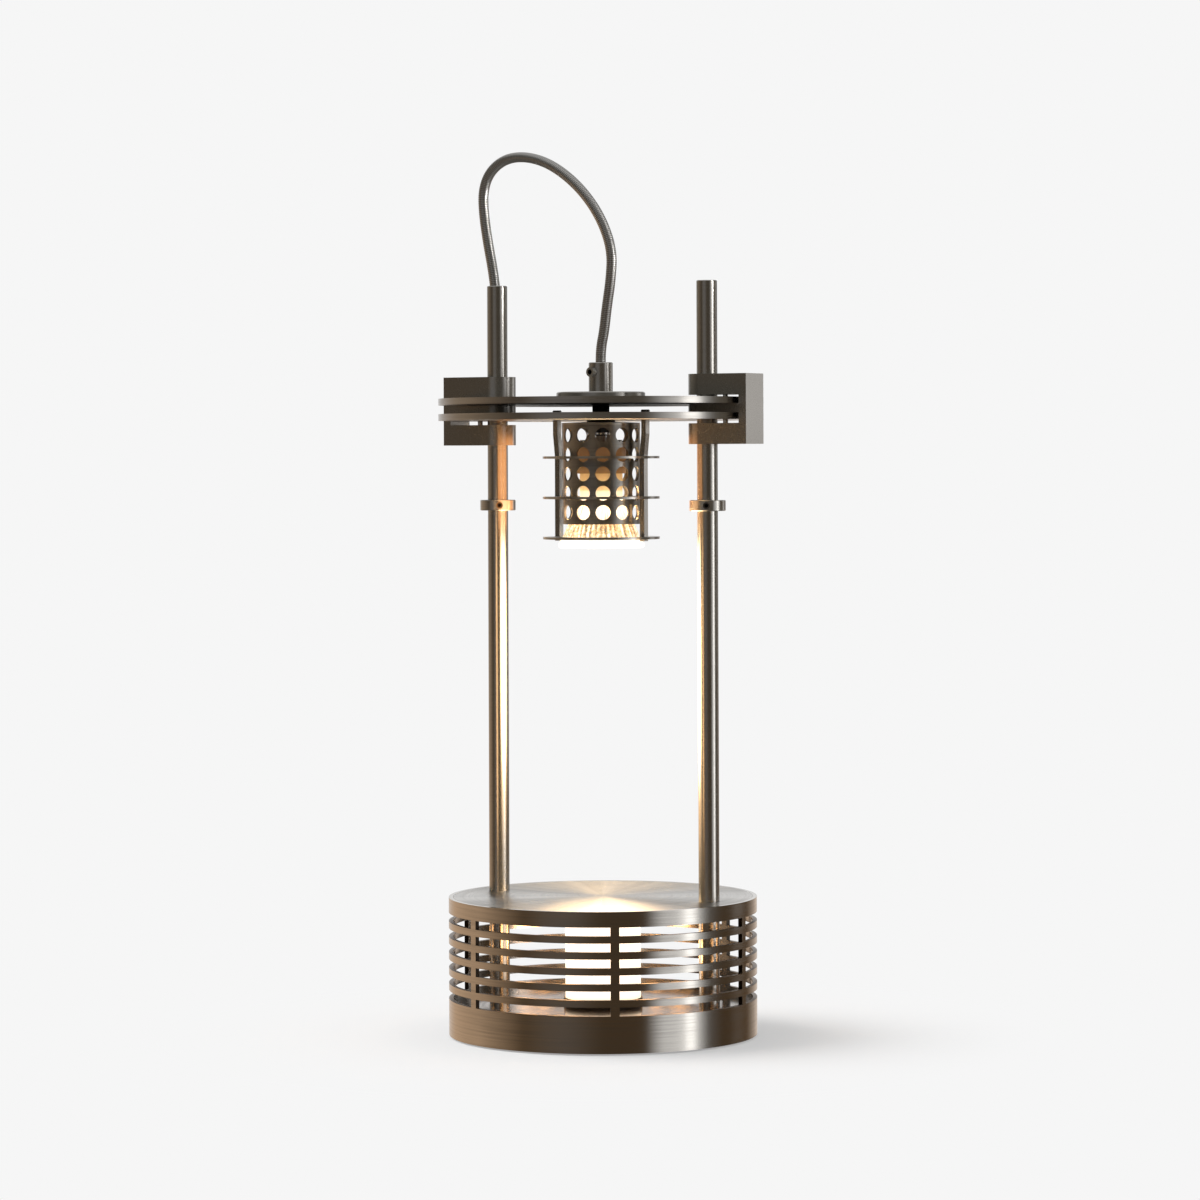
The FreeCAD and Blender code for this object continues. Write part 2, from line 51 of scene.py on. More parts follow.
# Camera: level, a little above the cage's middle, seen from the side of the right post
AZIMUTH = math.radians(29.7)
DISTANCE = 2.454
EYE_HEIGHT = 0.3352
ROLL = -0.004
TOWARDS = Vector((math.sin(AZIMUTH), -math.cos(AZIMUTH), 0.0))
RIGHT = Vector((math.cos(AZIMUTH), math.sin(AZIMUTH), 0.0))
UP = Vector((0.0, 0.0, 1.0))
camera_data = bpy.data.cameras.new("camera")
camera_data.sensor_width = 36.0
camera_data.lens = 125.94
camera_data.shift_x = -0.0009
camera_data.shift_y = -0.116
camera_data.clip_end = 60.0
camera = bpy.data.objects.new("camera", camera_data)
scene.collection.objects.link(camera)
facing = Matrix((RIGHT, UP, TOWARDS)).transposed().to_4x4()
stand = Matrix.Translation(TOWARDS * DISTANCE + UP * EYE_HEIGHT)
camera.matrix_world = stand @ facing @ Matrix.Rotation(ROLL, 4, "Z")
scene.camera = camera


# Helpers for shader nodes
def add(tree, kind, inputs=None, **settings):
    made = tree.nodes.new("ShaderNode" + kind)
    for key, value in settings.items():
        setattr(made, key, value)
    for key, value in (inputs or {}).items():
        if isinstance(value, bpy.types.NodeSocket):
            tree.links.new(value, made.inputs[key])
        else:
            made.inputs[key].default_value = value
    return made


def calc(tree, operation, *values, clamp=False):
    return add(tree, "Math", dict(enumerate(values)), operation=operation, use_clamp=clamp).outputs[0]


def vec(tree, operation, *values):
    made = add(tree, "VectorMath", dict(enumerate(values)), operation=operation)
    return made.outputs["Value" if operation in ("LENGTH", "DOT_PRODUCT") else "Vector"]


def mix(tree, factor, a, b, blend="MIX"):
    a, b = (v if isinstance(v, bpy.types.NodeSocket) else (*v, 1.0)[:4] for v in (a, b))
    made = add(tree, "Mix", {0: factor, 6: a, 7: b}, data_type="RGBA", blend_type=blend)
    return made.outputs[2]


def ease(tree, value, low, high, to_low=0.0, to_high=1.0):
    made = add(tree, "MapRange", {0: value, 1: low, 2: high, 3: to_low, 4: to_high},
               interpolation_type="SMOOTHSTEP")
    return made.outputs[0]


def ramp(tree, factor, stops):
    made = add(tree, "ValToRGB", {0: factor})
    band = made.color_ramp
    while len(band.elements) < len(stops):
        band.elements.new(0.5)
    for element, (place, colour) in zip(band.elements, stops):
        element.position = place
        element.color = (*colour, 1.0)
    return made.outputs["Color"]


def noise(tree, where, scale, detail=3.0, rough=0.55):
    inputs = {"Vector": where, "Scale": scale, "Detail": detail, "Roughness": rough}
    return add(tree, "TexNoise", inputs).outputs[0]


def surface(name, **fixed):
    material = bpy.data.materials.new(name)
    material.use_nodes = True
    tree = material.node_tree
    shader = tree.nodes["Principled BSDF"]
    for key, value in fixed.items():
        shader.inputs[key.replace("_", " ")].default_value = value
    where = add(tree, "TexCoord").outputs["Object"]
    return material, tree, shader, where


def join(tree, shader, **linked):
    for key, socket in linked.items():
        tree.links.new(socket, shader.inputs[key.replace("_", " ")])


def bump(tree, height, distance, strength):
    return add(tree, "Bump", {"Height": height, "Distance": distance, "Strength": strength}).outputs[0]


def axis(tree, vector, which):
    return add(tree, "SeparateXYZ", {0: vector}).outputs[which]


def even(tree, value):
    return add(tree, "CombineColor", {0: value, 1: value, 2: value}).outputs[0]


def tint(colour, by):
    return tuple(c * by for c in colour)


# The cord's route: out of the left post, over in a loop and down into the hub, in mm
ROUTE = [(-70.5, 409.5), (-70.5, 421.0), (-71.3, 434.0), (-73.4, 449.0), (-76.8, 465.0), (-79.5, 482.0),
         (-80.0, 495.5), (-75.8, 506.2), (-66.0, 513.6), (-53.0, 515.4), (-37.5, 511.8), (-22.5, 503.0),
         (-8.5, 490.0), (2.0, 474.5), (8.0, 457.5), (7.0, 441.0), (4.2, 425.0), (2.4, 410.8), (0.0, 400.6),
         (0.0, 392.7)]
CORD_R = 0.003
STRANDS = 10
STRAND_PITCH = 0.0017
RIB_PITCH = 0.00108


def spline_points(route):
    curve = bpy.data.curves.new("route", "CURVE")
    curve.dimensions = "3D"
    curve.resolution_u = 10
    spline = curve.splines.new("NURBS")
    spline.points.add(len(route) - 1)
    for point, (x, z) in zip(spline.points, route):
        point.co = (x / 1000, 0.0, z / 1000, 1.0)
    spline.order_u = 3
    spline.use_endpoint_u = True
    carrier = bpy.data.objects.new("route", curve)
    line = bpy.data.meshes.new_from_object(carrier)
    points = [v.co.copy() for v in line.vertices]
    bpy.data.objects.remove(carrier)
    bpy.data.meshes.remove(line)
    bpy.data.curves.remove(curve)
    return points


def make_object(name, mesh, material, body=None, smooth=True):
    piece = bpy.data.objects.new(name, mesh)
    scene.collection.objects.link(piece)
    mesh.materials.append(material)
    if smooth:
        mesh.polygons.foreach_set("use_smooth", [True] * len(mesh.polygons))
    if body:
        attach(piece, body)
    return piece


def tube(points, radius, sides):
    """Tube in the plane Y = 0. Its UV map holds the share of a turn and the length in metres."""
    mesh = bmesh.new()
    rings, lengths, run = [], [], 0.0
    for i, point in enumerate(points):
        run += (point - points[i - 1]).length if i else 0.0
        lengths.append(run)
        ahead = (points[min(i + 1, len(points) - 1)] - points[max(i - 1, 0)]).normalized()
        across = Vector((0.0, 1.0, 0.0))
        over = ahead.cross(across)
        ring = []
        for k in range(sides):
            turn = 2 * math.pi * k / sides
            ring.append(mesh.verts.new(point + radius * (math.cos(turn) * over + math.sin(turn) * across)))
        rings.append(ring)
    layer = mesh.loops.layers.uv.new("lay")
    for i in range(len(rings) - 1):
        for k in range(sides):
            n = (k + 1) % sides
            face = mesh.faces.new((rings[i][k], rings[i + 1][k], rings[i + 1][n], rings[i][n]))
            spots = ((k, i), (k, i + 1), (k + 1, i + 1), (k + 1, i))
            for loop, (turns, row) in zip(face.loops, spots):
                loop[layer].uv = (turns / sides, lengths[row])
    bmesh.ops.recalc_face_normals(mesh, faces=mesh.faces)
    made = bpy.data.meshes.new("tube")
    mesh.to_mesh(made)
    mesh.free()
    return made


def sheath(name, woven):
    """Grey sheath of fine wire: close ribs round the cord over two families of strands that cross."""
    material, tree, shader, where = surface(name, Metallic=0.95, IOR=1.5)
    if woven:
        spot = add(tree, "SeparateXYZ", {0: add(tree, "UVMap", uv_map="lay").outputs[0]})
        turn = calc(tree, "MULTIPLY", spot.outputs[0], 2 * math.pi * STRANDS)
        along = calc(tree, "MULTIPLY", spot.outputs[1], 2 * math.pi / STRAND_PITCH)
        one = calc(tree, "SINE", calc(tree, "ADD", turn, along))
        other = calc(tree, "SINE", calc(tree, "SUBTRACT", turn, along))
        weave = calc(tree, "MAXIMUM", one, other)
        rib = calc(tree, "SINE", calc(tree, "MULTIPLY", spot.outputs[1], 2 * math.pi / RIB_PITCH))
        weave = calc(tree, "ADD", calc(tree, "MULTIPLY", weave, 0.3), calc(tree, "MULTIPLY", rib, 0.7))
        strands = calc(tree, "MULTIPLY_ADD", weave, 0.5, 0.5, clamp=True)
    else:
        strands = noise(tree, where, 1400.0, 2.0)
    fine = noise(tree, where, 2600.0, 3.0)
    cloud = noise(tree, where, 60.0, 3.0)
    look = calc(tree, "ADD", calc(tree, "MULTIPLY", strands, 0.75), calc(tree, "MULTIPLY", fine, 0.25))
    colour = ramp(tree, look, [(0.18, (0.13, 0.125, 0.115)), (0.5, (0.40, 0.39, 0.37)),
                               (0.9, (0.66, 0.65, 0.64))])
    colour = mix(tree, calc(tree, "MULTIPLY", cloud, 0.2), colour, (0.20, 0.19, 0.175))
    join(tree, shader, Base_Color=colour, Roughness=ease(tree, look, 0.2, 0.9, 0.44, 0.32),
         Normal=bump(tree, look, 0.00010, 0.5))
    return material


path = spline_points(ROUTE)
cord = make_object("cord_loop", tube(path, CORD_R, 28), sheath("braided_sheath", True))
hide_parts("lamp_cord")
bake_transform(cord)

# Metals
STEEL = (0.46, 0.44, 0.41)


def steel(name, colour=STEEL, rough=0.30, lay="round", lines=900.0, grain=1.0, spread=0.10, stretch=0.88,
          fan_sheen=0.0, cuts=None, vary=1.0):
    """Brushed steel. Its grain runs round the Z axis, round a post, along Z, or is even, and its highlights
    stretch across the grain. fan is the strength of the painted sheen: streaks on flat faces, turned round
    the Z axis, that stand in for the highlights of the brushing. cuts are the heights between which faces
    across the round wall are dull cut edges with painted shade, dark brown on flat faces and near black on
    upright ones.
    vary is how much the roughness changes from place to place."""
    material, tree, shader, where = surface(name, Metallic=1.0, Anisotropic=stretch)
    flat = vec(tree, "MULTIPLY", where, (1.0, 1.0, 0.0))
    unit = vec(tree, "NORMALIZE", flat)
    height = axis(tree, where, 2)
    if lay == "round":
        across = add(tree, "SeparateXYZ", {0: unit})
        out = calc(tree, "ADD", vec(tree, "LENGTH", flat), height)
        spot = add(tree, "CombineXYZ", {0: calc(tree, "MULTIPLY", across.outputs[0], 1.4),
                                        1: calc(tree, "MULTIPLY", across.outputs[1], 1.4),
                                        2: calc(tree, "MULTIPLY", out, lines)}).outputs[0]
    else:
        scale = {"post": (26.0, 26.0, lines), "upright": (lines, lines, 26.0), "even": (lines,) * 3}[lay]
        spot = vec(tree, "MULTIPLY", where, scale)
    brush = noise(tree, spot, 1.0, 5.0, 0.6)
    cloud = noise(tree, where, 24.0, 4.0, 0.6)
    both = calc(tree, "ADD", calc(tree, "MULTIPLY", brush, 0.8), calc(tree, "MULTIPLY", cloud, 0.2))
    tone = ramp(tree, both, [(0.30, tint(colour, 1 - 1.6 * spread)), (0.5, colour),
                             (0.72, tint(colour, 1 + spread))])
    dull = ease(tree, both, 0.25, 0.75, rough + 0.05 * vary, rough - 0.04 * vary)
    normal = add(tree, "NewGeometry").outputs["True Normal"]
    if fan_sheen:
        # painted sheen: lighter and darker streaks turned round the Z axis on flat faces stand in for brushed
        # highlights
        level = calc(tree, "ABSOLUTE", axis(tree, normal, 2))
        sheen_rays = noise(tree, vec(tree, "MULTIPLY", unit, (3.5, 3.5, 0.0)), 1.0, 5.0, 0.72)
        shade = ease(tree, sheen_rays, 0.32, 0.68, 1.0 - fan_sheen, 1.0 + 0.3 * fan_sheen)
        shade = mix(tree, ease(tree, level, 0.6, 0.9), (1.0, 1.0, 1.0), even(tree, shade))
        tone = mix(tree, 1.0, tone, shade, "MULTIPLY")
    if cuts:
        side = calc(tree, "ABSOLUTE", vec(tree, "DOT_PRODUCT", normal, unit))
        cut = calc(tree, "LESS_THAN", side, 0.7)
        cut = calc(tree, "MULTIPLY", cut, calc(tree, "GREATER_THAN", height, cuts[0]))
        cut = calc(tree, "MULTIPLY", cut, calc(tree, "LESS_THAN", height, cuts[1]))
        # painted shade on the cut faces: dark brown on flat ones, near black on upright ones
        upright = calc(tree, "ABSOLUTE", axis(tree, normal, 2))
        cut_shade = mix(tree, calc(tree, "LESS_THAN", upright, 0.5), (0.20, 0.15, 0.11), (0.035, 0.028, 0.022))
        tone = mix(tree, cut, tone, cut_shade)
        dull = calc(tree, "MULTIPLY_ADD", cut, 0.2, dull)
    tangent = vec(tree, "ADD", vec(tree, "MULTIPLY", flat, (0.1, 0.1, 0.0)), (0.0, 0.0, 1.0))
    join(tree, shader, Base_Color=tone, Roughness=dull, Tangent=tangent,
         Normal=bump(tree, brush, 0.00003, 0.18 * grain))
    return material


def plated(name, colour=(0.7, 0.69, 0.67), rough=0.14, socket=None):
    """Plated metal. socket is the middle, direction and radius of a screw end's hollow, painted near black as
    shade.
    """
    material, tree, shader, where = surface(name, Metallic=1.0)
    cloud = noise(tree, where, 300.0, 4.0, 0.6)
    fine = noise(tree, where, 2200.0, 3.0, 0.6)
    tone = ramp(tree, cloud, [(0.3, tint(colour, 0.78)), (0.7, tint(colour, 1.05))])
    if socket:
        middle, out, radius = socket
        # painted shade: the hollow in the screw's end is near black
        off = vec(tree, "CROSS_PRODUCT", vec(tree, "SUBTRACT", where, middle), out)
        outside = ease(tree, vec(tree, "LENGTH", off), radius, radius * 1.12)
        tone = mix(tree, outside, (0.012, 0.011, 0.010), tone)
    join(tree, shader, Base_Color=tone, Roughness=ease(tree, cloud, 0.3, 0.7, rough + 0.12, rough),
         Normal=bump(tree, fine, 0.00003, 0.4))
    return material


def matt(name, colour, rough=0.5, grain=900.0, depth=0.00006, spread=0.25, metallic=0.0, thread=0.0):
    """Dull material with a fine grain: painted metal, moulded plastic, rubber or ceramic."""
    material, tree, shader, where = surface(name, Metallic=metallic)
    fine = noise(tree, where, grain, 4.0, 0.6)
    cloud = noise(tree, where, grain / 14, 3.0, 0.55)
    both = calc(tree, "ADD", calc(tree, "MULTIPLY", fine, 0.5), calc(tree, "MULTIPLY", cloud, 0.5))
    tone = ramp(tree, both, [(0.3, tint(colour, 1 - spread)), (0.7, tint(colour, 1 + spread))])
    height = fine
    if thread:
        turns = calc(tree, "MULTIPLY", axis(tree, where, 2), 2 * math.pi / thread)
        height = calc(tree, "ADD", calc(tree, "MULTIPLY", fine, 0.2), calc(tree, "SINE", turns))
        depth = thread / 3
    join(tree, shader, Base_Color=tone, Roughness=ease(tree, both, 0.3, 0.7, rough + 0.1, rough - 0.08),
         Normal=bump(tree, height, depth, 0.6))
    return material


def lit(name, colour, stops, rough=0.35, strength=1.0, mottle=0.12):
    """Part that the lamps light from inside: the glow changes with height, in metres."""
    material, tree, shader, where = surface(name, Emission_Strength=strength)
    place = axis(tree, where, 2)
    low, high = stops[0][0], stops[-1][0]
    share = add(tree, "MapRange", {0: place, 1: low, 2: high}).outputs[0]
    glow = ramp(tree, share, [((z - low) / (high - low), c) for z, c in stops])
    cloud = noise(tree, where, 160.0, 4.0, 0.6)
    shade = ease(tree, cloud, 0.3, 0.7, 1.0 - mottle, 1.0)
    glow = mix(tree, 1.0, glow, even(tree, shade), "MULTIPLY")
    fine = noise(tree, where, 900.0, 3.0)
    tone = ramp(tree, cloud, [(0.3, tint(colour, 0.9)), (0.7, colour)])
    join(tree, shader, Base_Color=tone, Emission_Color=glow,
         Roughness=ease(tree, fine, 0.3, 0.7, rough + 0.1, rough), Normal=bump(tree, fine, 0.00004, 0.4))
    return material


def dress(material, *names):
    for name in names:
        piece = nodes[name]
        for slot in piece.material_slots:
            slot.material = material
        if not piece.material_slots:
            piece.data.materials.append(material)


# The wall's cut faces between the slots carry painted shade
shell_steel = steel("steel_shell", rough=0.18, stretch=0.5, cuts=(0.021, 0.0745))
dress(steel("steel_top", fan_sheen=0.3), "base_top_plate")
dress(steel("steel_turned", fan_sheen=0.15), "hub_flange", "cage_cap", "cage_ring_lower", "cage_ring_middle",
      "cage_ring_upper")
dress(steel("steel_plate", lines=700.0, fan_sheen=0.15), "lower_plate", "upper_plate")
dress(steel("steel_cage", tint(STEEL, 0.72), rough=0.34), "cage_tube")
# Painted shade and warm light: a darker, brown copy of the steel for the floor inside the base and the cover
# under it
dress(steel("steel_floor_shaded", (0.22, 0.165, 0.12), rough=0.14, stretch=0.5, fan_sheen=0.25), "base_floor",
      "bottom_cover")
dress(steel("steel_post", rough=0.26, lay="post", lines=1100.0, grain=0.05, spread=0.05, stretch=0.6,
            vary=0.15), "left_post", "right_post", "cord_hub")
dress(steel("steel_collar", tint(STEEL, 1.15), lay="post", lines=1400.0), "left_collar", "right_collar")
dress(steel("steel_block", rough=0.28, lay="even", lines=1500.0, grain=0.3, stretch=0.4, vary=0.4),
      "left_block", "right_block")
dress(steel("steel_strap", rough=0.26, lay="upright", lines=1500.0, stretch=0.4), "left_strap",
      "right_strap")
dress(plated("zinc"), "cover_standoffs", "cover_screws", "post_nuts", "left_clamp_screw", "right_clamp_screw",
      "left_lock_screw", "right_lock_screw", "bracket_screws", "socket_bracket")
dress(plated("zinc_dark", (0.30, 0.28, 0.26), 0.2), "cage_screws")

# Screws with painted shade in the hollow in their end: first part of the name, X, turn in degrees, hollow's
# radius, colour
DARK_ZINC = (0.25, 0.23, 0.21)
SHADED_SOCKETS = (("hub", 0.0, -100, 0.00145, (0.72, 0.71, 0.69)), ("left_collar", -0.0705, -54, 0.00115, DARK_ZINC),
           ("right_collar", 0.0705, -66, 0.00115, DARK_ZINC))
for name, x, turn, radius, colour in SHADED_SOCKETS:
    rise = sum(corner[2] for corner in nodes[name + "_screw"].bound_box) / 8
    out = (math.cos(math.radians(turn)), math.sin(math.radians(turn)), 0.0)
    dress(plated("zinc_" + name, colour, 0.16, ((x, 0.0, rise), out, radius)), name + "_screw")

dress(matt("black_thread", (0.016, 0.015, 0.014), 0.42, metallic=0.5, thread=0.001), "threaded_nipple")
dress(matt("black_metal", (0.018, 0.017, 0.016), 0.42, metallic=0.5), "cage_washer", "inner_nut",
      "diffuser_holder")
dress(matt("black_plastic", (0.035, 0.035, 0.036), 0.5), "cord_inlet", "led_driver", "terminal_block",
      "post_bushing")
dress(matt("rubber", (0.045, 0.045, 0.045), 0.75, grain=1400.0), "rubber_feet")
dress(matt("board", (0.80, 0.81, 0.78), 0.4, spread=0.06), "led_board")
dress(sheath("sheath_ends", False), "lead_in_post", "lead_in_head")
dress(plated("brass", (0.78, 0.62, 0.30)), "bulb_pins")

# Parts that are lit from inside, with their glow by height in metres
WHITE = (1.0, 0.94, 0.84)
CREAM = (1.0, 0.86, 0.62)
COLUMN = [(0.019, (0.75, 0.42, 0.18)), (0.0225, CREAM), (0.026, WHITE), (0.070, WHITE), (0.075, CREAM),
          (0.0777, (0.8, 0.5, 0.24))]
dress(lit("opal", (0.95, 0.93, 0.88), COLUMN, strength=1.15, mottle=0.03), "base_diffuser")
dress(lit("chip", (0.95, 0.85, 0.5), [(0.0, (1.0, 0.8, 0.5)), (0.1, (1.0, 0.8, 0.5))], strength=1.5),
      "base_leds")
dress(lit("ceramic_base", (0.40, 0.30, 0.18), [(0.3130, (1.1, 0.98, 0.72)), (0.3172, (1.05, 0.90, 0.60)),
                                               (0.3184, (0.85, 0.54, 0.22)), (0.3278, (0.42, 0.22, 0.065)),
                                               (0.3380, (0.14, 0.06, 0.017))], mottle=0.2), "bulb_base")
dress(lit("ceramic_socket", (0.20, 0.12, 0.06), [(0.3278, (0.20, 0.09, 0.025)),
                                                 (0.3330, (0.11, 0.048, 0.013)),
                                                 (0.3450, (0.10, 0.042, 0.014))], mottle=0.2), "lamp_socket")
dress(lit("lens", (0.98, 0.95, 0.9), [(0.2844, (1.0, 0.97, 0.92)), (0.2870, (1.0, 0.97, 0.9))], strength=1.1,
          mottle=0.02), "bulb_lens")
dress(lit("capsule", (1.0, 0.9, 0.7), [(0.299, (1.0, 0.85, 0.6)), (0.313, (1.0, 0.85, 0.6))], strength=3.0),
      "bulb_capsule")


def revolve(profile, steps, swell=None):
    """Closed shell of a closed profile of (radius, height) turned about the Z axis, with a radius change."""
    mesh = bmesh.new()
    rows = []
    for k in range(steps):
        turn = 2 * math.pi * k / steps
        row = []
        for i, (r, z) in enumerate(profile):
            r = r + (swell(turn, i, z) if swell else 0.0)
            row.append(mesh.verts.new((r * math.cos(turn), r * math.sin(turn), z)))
        rows.append(row)
    count = len(profile)
    for k in range(steps):
        n = (k + 1) % steps
        for i in range(count):
            j = (i + 1) % count
            mesh.faces.new((rows[k][i], rows[n][i], rows[n][j], rows[k][j]))
    bmesh.ops.recalc_face_normals(mesh, faces=mesh.faces)
    made = bpy.data.meshes.new("turned")
    mesh.to_mesh(made)
    mesh.free()
    return made


# Round wall of the base, in metres and degrees
WALL_LOW, WALL_HIGH = 0.001, 0.081
LEDGE_TOPS, LEDGE_H, LEDGE_SINK = (0.078, 0.0145), 0.0015, 0.0001
SLOT_ROWS, SLOT_LOW, SLOT_H, SLOT_PITCH = 6, 0.0222, 0.005, 0.009
BAYS, RIB_W, RIB_TURN = 6, 0.005, 4
BAY = 360 // BAYS
CELLS = 8
TURN_STEP, LEAST_STEP = 1.5, 0.5


def base_wall():
    """Wall with rows of slots between upright ribs, two inner ledges and a round bore at the back. The bore
    sits in a square patch of cells, whose turns and heights are in the same grid as the slots' edges."""
    outer, inner, ledge = 0.090, 0.0875, 0.0855
    half_rib = math.degrees(math.asin(RIB_W / 2 / outer))
    bore_r, bore_z, patch = 0.0043, 0.008, 0.0054
    shares = np.linspace(-1, 1, CELLS + 1)
    patch_turns = [90 + s * math.degrees(math.asin(patch / outer)) for s in shares]
    patch_rows = [bore_z + s * patch for s in shares]
    slots = [(SLOT_LOW + SLOT_PITCH * i, SLOT_LOW + SLOT_H + SLOT_PITCH * i) for i in range(SLOT_ROWS)]
    fixed = patch_turns + [RIB_TURN + BAY * i + s * half_rib for i in range(BAYS) for s in (-1, 1)]
    turns = [a for a in np.arange(0.0, 360.0, TURN_STEP) if all(abs(a - f) > LEAST_STEP for f in fixed)]
    turns = sorted(turns + [f % 360 for f in fixed])
    heights = sorted([WALL_LOW, WALL_HIGH] + patch_rows + [z for slot in slots for z in slot])
    first, start = turns.index(patch_turns[0]), heights.index(patch_rows[0])
    count = len(turns)
    mesh = bmesh.new()
    points = {}

    def at(i, j, r):
        key = (i % count, j, r)
        if key not in points:
            turn = math.radians(turns[i % count])
            points[key] = mesh.verts.new((r * math.cos(turn), r * math.sin(turn), heights[j]))
        return points[key]

    def solid(i, j):
        if not 0 <= j < len(heights) - 1:
            return False
        i = i % count
        middle = (turns[i] + (turns[(i + 1) % count] + (360 if i + 1 == count else 0))) / 2
        off = (middle - RIB_TURN + BAY / 2) % BAY - BAY / 2
        z = (heights[j] + heights[j + 1]) / 2
        return abs(off) < half_rib or not any(low < z < top for low, top in slots)

    def patched(i, j):
        return first <= i % count < first + CELLS and start <= j < start + CELLS

    for i in range(count):
        for j in range(len(heights) - 1):
            if not solid(i, j):
                continue
            if not patched(i, j):
                for r in (outer, inner):
                    mesh.faces.new((at(i, j, r), at(i + 1, j, r), at(i + 1, j + 1, r), at(i, j + 1, r)))
            for a, b, beyond in (((i, j), (i + 1, j), (i, j - 1)), ((i, j + 1), (i + 1, j + 1), (i, j + 1)),
                                 ((i, j), (i, j + 1), (i - 1, j)), ((i + 1, j), (i + 1, j + 1), (i + 1, j))):
                if not solid(*beyond):
                    mesh.faces.new((at(*a, outer), at(*b, outer), at(*b, inner), at(*a, inner)))
    steps = range(CELLS)
    square = ([(k, 0) for k in steps] + [(CELLS, k) for k in steps] + [(CELLS - k, CELLS) for k in steps]
              + [(0, CELLS - k) for k in steps])
    rims = {}
    for r in (outer, inner):
        rims[r] = []
        for i, j in square:
            x, z = at(first + i, start + j, outer).co[0], heights[start + j] - bore_z
            x, z = (c * bore_r / math.hypot(x, z) for c in (x, z))
            rims[r].append(mesh.verts.new((x, math.sqrt(r * r - x * x), bore_z + z)))
    for k in range(len(square)):
        n = (k + 1) % len(square)
        a, b = ((first + i, start + j) for i, j in (square[k], square[n]))
        for r in (outer, inner):
            mesh.faces.new((at(*a, r), at(*b, r), rims[r][n], rims[r][k]))
        mesh.faces.new((rims[outer][k], rims[outer][n], rims[inner][n], rims[inner][k]))
    bmesh.ops.recalc_face_normals(mesh, faces=mesh.faces)
    seat = inner + LEDGE_SINK
    for top in LEDGE_TOPS:
        low = top - LEDGE_H
        mesh.from_mesh(revolve([(ledge, low), (seat, low), (seat, top), (ledge, top)], 180))
    made = bpy.data.meshes.new("base_wall")
    mesh.to_mesh(made)
    mesh.free()
    return made


wall = make_object("base_wall", base_wall(), shell_steel, "base")
wall.data.set_sharp_from_angle(angle=math.radians(30))
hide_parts("base_shell")

# The lamp's cup: facetted glass, with ribs down its outside. Its outline is in mm
CUP = [(25.0, 287.0), (22.62, 290.9), (19.38, 298.18), (15.25, 305.98), (12.5, 313.0)]
CUP_ROWS = 27
RIBS = 44
FACET = 0.0024


def cup_profile():
    radii, heights = [r for r, z in CUP], [z for r, z in CUP]
    rows = np.linspace(heights[0], heights[-1], CUP_ROWS)
    outside = [(float(np.interp(z, heights, radii)) / 1000, float(z) / 1000) for z in rows]
    return outside + [(r - 0.0011, z) for r, z in outside[::-1]]


def cup_swell(turn, i, z):
    if i >= CUP_ROWS:
        return 0.0
    rib = 0.5 + 0.5 * math.cos(RIBS * turn)
    odd = int(RIBS * turn / 2 / math.pi) % 2
    step = 0.5 + 0.5 * math.cos(2 * math.pi * z / FACET + math.pi * odd)
    return -0.00055 * (1 - rib ** 0.6) - 0.00018 * step


def cup_glass():
    material, tree, shader, where = surface("cup_glass", IOR=1.45, Emission_Strength=1.0, Coat_Weight=0.5)
    place = add(tree, "SeparateXYZ", {0: where})
    turn = calc(tree, "ARCTAN2", place.outputs[1], place.outputs[0])
    height = place.outputs[2]
    rib = calc(tree, "COSINE", calc(tree, "MULTIPLY", turn, float(RIBS)))
    unit = vec(tree, "NORMALIZE", vec(tree, "MULTIPLY", where, (1.0, 1.0, 0.0)))
    spot = vec(tree, "ADD", vec(tree, "MULTIPLY", unit, (14.0, 14.0, 0.0)),
               vec(tree, "MULTIPLY", where, (0.0, 0.0, 90.0)))
    streak = noise(tree, spot, 1.0, 3.0, 0.6)
    grain = noise(tree, where, 560.0, 3.0, 0.7)
    look = calc(tree, "ADD", calc(tree, "MULTIPLY", rib, 0.05), calc(tree, "MULTIPLY", streak, 0.55))
    look = calc(tree, "ADD", look, calc(tree, "MULTIPLY", grain, 0.55))
    warm = ramp(tree, look, [(0.38, (0.05, 0.026, 0.012)), (0.46, (0.24, 0.125, 0.045)),
                             (0.53, (0.72, 0.43, 0.17)), (0.60, (1.0, 0.78, 0.46)),
                             (0.68, (1.15, 1.08, 0.95))])
    low = ease(tree, height, 0.2896, 0.2915, 1.0, 0.0)
    high = calc(tree, "MULTIPLY", ease(tree, height, 0.2985, 0.3015, 0.0, 0.95),
                ease(tree, streak, 0.36, 0.52, 0.35, 1.0))
    hot = calc(tree, "MAXIMUM", low, high)
    glow = mix(tree, hot, warm, (1.25, 1.14, 0.95))
    join(tree, shader, Base_Color=mix(tree, 0.5, warm, (0.9, 0.8, 0.6)), Emission_Color=glow,
         Roughness=ease(tree, grain, 0.3, 0.7, 0.12, 0.25), Normal=bump(tree, grain, 0.0002, 0.5))
    return material


cup = make_object("cup_ribbed", revolve(cup_profile(), RIBS * 8, cup_swell), cup_glass(), "head")
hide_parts("bulb_reflector")


# Floor and surroundings. PAINT lets a painted colour pass 1: it is held as a share and lit that much more
BACKDROP = 0.9216
LEVEL = 0.5
PAINT = 4.0


